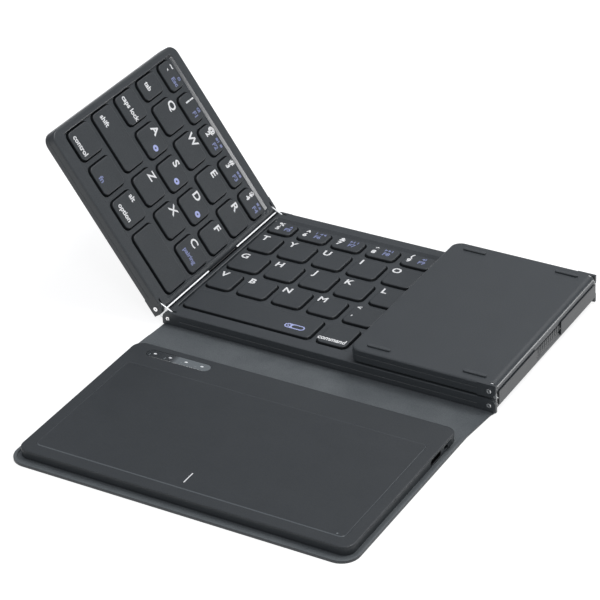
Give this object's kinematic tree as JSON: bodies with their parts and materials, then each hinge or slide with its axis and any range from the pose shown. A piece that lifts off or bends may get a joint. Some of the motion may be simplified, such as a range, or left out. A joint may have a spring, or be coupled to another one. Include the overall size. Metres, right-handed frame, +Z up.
{
  "type": "folding keyboard",
  "caption": "Folding keyboard in three hinged panels, with a touch pad on a flap of leather that closes over them.",
  "frame": {"origin": "on the surface that the keyboard lies on, under the centre of the middle panel", "axes": "+X to the typist's right, +Y to the back, away from the typist, +Z up"},
  "size_m": [0.2185, 0.2186, 0.0822],
  "materials": {
    "grey_plastic": "fine matt texture",
    "key_plastic": "matt, moulded",
    "leather": "fine grain",
    "steel": "bright, pressed",
    "plated_steel": "bright, turned",
    "sheet_metal": "stamped sheet",
    "film": "printed film",
    "rubber": "matt",
    "spine_plastic": "matt",
    "cable": "coated film",
    "touch_film": "satin film",
    "window": "polished",
    "board": "solder mask",
    "cell_wrap": "laminate pouch"
  },
  "bodies": {
    "middle": {"leather_base": "leather", "middle_case": "grey_plastic", "middle_frame": "grey_plastic", "middle_plate": "sheet_metal", "middle_membrane": "film", "middle_domes": "rubber"},
    "left_link": {"left_link_plates": "steel", "left_hinge_pins": "plated_steel", "left_spine_bars": "steel", "left_spine_covers": "spine_plastic", "left_cable_bridge": "spine_plastic", "left_flat_cable": "cable"},
    "right_link": {"right_link_plates": "steel", "right_hinge_pins": "plated_steel", "right_spine_bars": "steel", "right_spine_covers": "spine_plastic", "right_cable_bridge": "spine_plastic", "right_flat_cable": "cable"},
    "left_leaf": {"left_case": "grey_plastic", "left_frame": "grey_plastic", "left_plate": "sheet_metal", "left_membrane": "film", "left_domes": "rubber", "left_feet": "rubber"},
    "right_leaf": {"right_case": "grey_plastic", "right_frame": "grey_plastic", "right_plate": "sheet_metal", "right_membrane": "film", "right_domes": "rubber", "right_feet": "rubber"},
    "spine": {"leather_spine": "leather"},
    "flap": {"leather_flap": "leather", "pad_case": "grey_plastic", "pad_lid": "grey_plastic", "touch_surface": "touch_film", "status_window": "window", "pad_board": "board", "pad_battery": "cell_wrap", "closing_magnets": "plated_steel", "charge_socket": "steel"},
    "switch": {"power_switch": "spine_plastic"},
    "left_number_keys": {"left_number_keys": "key_plastic"},
    "left_top_keys": {"left_top_keys": "key_plastic"},
    "left_home_keys": {"left_home_keys": "key_plastic"},
    "left_lower_keys": {"left_lower_keys": "key_plastic"},
    "left_shift_key": {"left_shift_key": "key_plastic"},
    "left_space_key": {"left_space_key": "key_plastic"},
    "left_bottom_keys": {"left_bottom_keys": "key_plastic"},
    "middle_number_keys": {"middle_number_keys": "key_plastic"},
    "middle_top_keys": {"middle_top_keys": "key_plastic"},
    "middle_home_keys": {"middle_home_keys": "key_plastic"},
    "middle_lower_keys": {"middle_lower_keys": "key_plastic"},
    "middle_space_key": {"middle_space_key": "key_plastic"},
    "middle_bottom_keys": {"middle_bottom_keys": "key_plastic"},
    "right_number_keys": {"right_number_keys": "key_plastic"},
    "right_top_keys": {"right_top_keys": "key_plastic"},
    "right_home_keys": {"right_home_keys": "key_plastic"},
    "right_lower_keys": {"right_lower_keys": "key_plastic"},
    "right_enter_key": {"right_enter_key": "key_plastic"},
    "right_bottom_keys": {"right_bottom_keys": "key_plastic"}
  },
  "joints": [
    {"name": "left_link_fold", "type": "hinge", "parent": "middle", "child": "left_link", "pos_m": [-0.0779, 0, 0.0039], "axis": [0, 1, 0], "range_deg": [-27.75, 62.25]},
    {"name": "left_leaf_fold", "type": "hinge", "parent": "left_link", "child": "left_leaf", "pos_m": [-0.08409, 0, 0.00716], "axis": [0, 1, 0], "range_deg": [-27.75, 62.25]},
    {"name": "right_link_fold", "type": "hinge", "parent": "middle", "child": "right_link", "pos_m": [0.0779, 0, 0.0039], "axis": [0, -1, 0], "range_deg": [-90, 0]},
    {"name": "right_leaf_fold", "type": "hinge", "parent": "right_link", "child": "right_leaf", "pos_m": [0.0779, 0, 0.0109], "axis": [0, -1, 0], "range_deg": [-90, 0]},
    {"name": "spine_fold", "type": "hinge", "parent": "middle", "child": "spine", "pos_m": [0, -0.0514, 0.0004], "axis": [-1, 0, 0], "range_deg": [0, 90]},
    {"name": "flap_fold", "type": "hinge", "parent": "spine", "child": "flap", "pos_m": [0, -0.0707, 0.0004], "axis": [-1, 0, 0], "range_deg": [0, 90]},
    {"name": "power_slide", "type": "slide", "parent": "flap", "child": "switch", "axis": [0, -1, 0], "range_m": [0, 0.002]},
    {"name": "left_number_keys_press", "type": "slide", "parent": "left_leaf", "child": "left_number_keys", "axis": [-0.8241, 0, -0.5664], "range_m": [0, 0.0012], "stiffness_N_per_m": 300, "springref_m": -0.0005},
    {"name": "left_top_keys_press", "type": "slide", "parent": "left_leaf", "child": "left_top_keys", "axis": [-0.8241, 0, -0.5664], "range_m": [0, 0.0012], "stiffness_N_per_m": 300, "springref_m": -0.0005},
    {"name": "left_home_keys_press", "type": "slide", "parent": "left_leaf", "child": "left_home_keys", "axis": [-0.8241, 0, -0.5664], "range_m": [0, 0.0012], "stiffness_N_per_m": 300, "springref_m": -0.0005},
    {"name": "left_lower_keys_press", "type": "slide", "parent": "left_leaf", "child": "left_lower_keys", "axis": [-0.8241, 0, -0.5664], "range_m": [0, 0.0012], "stiffness_N_per_m": 300, "springref_m": -0.0005},
    {"name": "left_shift_key_press", "type": "slide", "parent": "left_leaf", "child": "left_shift_key", "axis": [-0.8241, 0, -0.5664], "range_m": [0, 0.0012], "stiffness_N_per_m": 300, "springref_m": -0.0005},
    {"name": "left_space_key_press", "type": "slide", "parent": "left_leaf", "child": "left_space_key", "axis": [-0.8241, 0, -0.5664], "range_m": [0, 0.0012], "stiffness_N_per_m": 300, "springref_m": -0.0005},
    {"name": "left_bottom_keys_press", "type": "slide", "parent": "left_leaf", "child": "left_bottom_keys", "axis": [-0.8241, 0, -0.5664], "range_m": [0, 0.0012], "stiffness_N_per_m": 300, "springref_m": -0.0005},
    {"name": "middle_number_keys_press", "type": "slide", "parent": "middle", "child": "middle_number_keys", "axis": [0, 0, -1], "range_m": [0, 0.0012], "stiffness_N_per_m": 300, "springref_m": -0.0005},
    {"name": "middle_top_keys_press", "type": "slide", "parent": "middle", "child": "middle_top_keys", "axis": [0, 0, -1], "range_m": [0, 0.0012], "stiffness_N_per_m": 300, "springref_m": -0.0005},
    {"name": "middle_home_keys_press", "type": "slide", "parent": "middle", "child": "middle_home_keys", "axis": [0, 0, -1], "range_m": [0, 0.0012], "stiffness_N_per_m": 300, "springref_m": -0.0005},
    {"name": "middle_lower_keys_press", "type": "slide", "parent": "middle", "child": "middle_lower_keys", "axis": [0, 0, -1], "range_m": [0, 0.0012], "stiffness_N_per_m": 300, "springref_m": -0.0005},
    {"name": "middle_space_key_press", "type": "slide", "parent": "middle", "child": "middle_space_key", "axis": [0, 0, -1], "range_m": [0, 0.0012], "stiffness_N_per_m": 300, "springref_m": -0.0005},
    {"name": "middle_bottom_keys_press", "type": "slide", "parent": "middle", "child": "middle_bottom_keys", "axis": [0, 0, -1], "range_m": [0, 0.0012], "stiffness_N_per_m": 300, "springref_m": -0.0005},
    {"name": "right_number_keys_press", "type": "slide", "parent": "right_leaf", "child": "right_number_keys", "axis": [0, 0, 1], "range_m": [0, 0.0012], "stiffness_N_per_m": 300, "springref_m": -0.0005},
    {"name": "right_top_keys_press", "type": "slide", "parent": "right_leaf", "child": "right_top_keys", "axis": [0, 0, 1], "range_m": [0, 0.0012], "stiffness_N_per_m": 300, "springref_m": -0.0005},
    {"name": "right_home_keys_press", "type": "slide", "parent": "right_leaf", "child": "right_home_keys", "axis": [0, 0, 1], "range_m": [0, 0.0012], "stiffness_N_per_m": 300, "springref_m": -0.0005},
    {"name": "right_lower_keys_press", "type": "slide", "parent": "right_leaf", "child": "right_lower_keys", "axis": [0, 0, 1], "range_m": [0, 0.0012], "stiffness_N_per_m": 300, "springref_m": -0.0005},
    {"name": "right_enter_key_press", "type": "slide", "parent": "right_leaf", "child": "right_enter_key", "axis": [0, 0, 1], "range_m": [0, 0.0012], "stiffness_N_per_m": 300, "springref_m": -0.0005},
    {"name": "right_bottom_keys_press", "type": "slide", "parent": "right_leaf", "child": "right_bottom_keys", "axis": [0, 0, 1], "range_m": [0, 0.0012], "stiffness_N_per_m": 300, "springref_m": -0.0005}
  ],
  "couplings": [
    {"joint": "left_leaf_fold", "follows": "left_link_fold", "ratio": 1},
    {"joint": "right_leaf_fold", "follows": "right_link_fold", "ratio": 1}
  ]
}
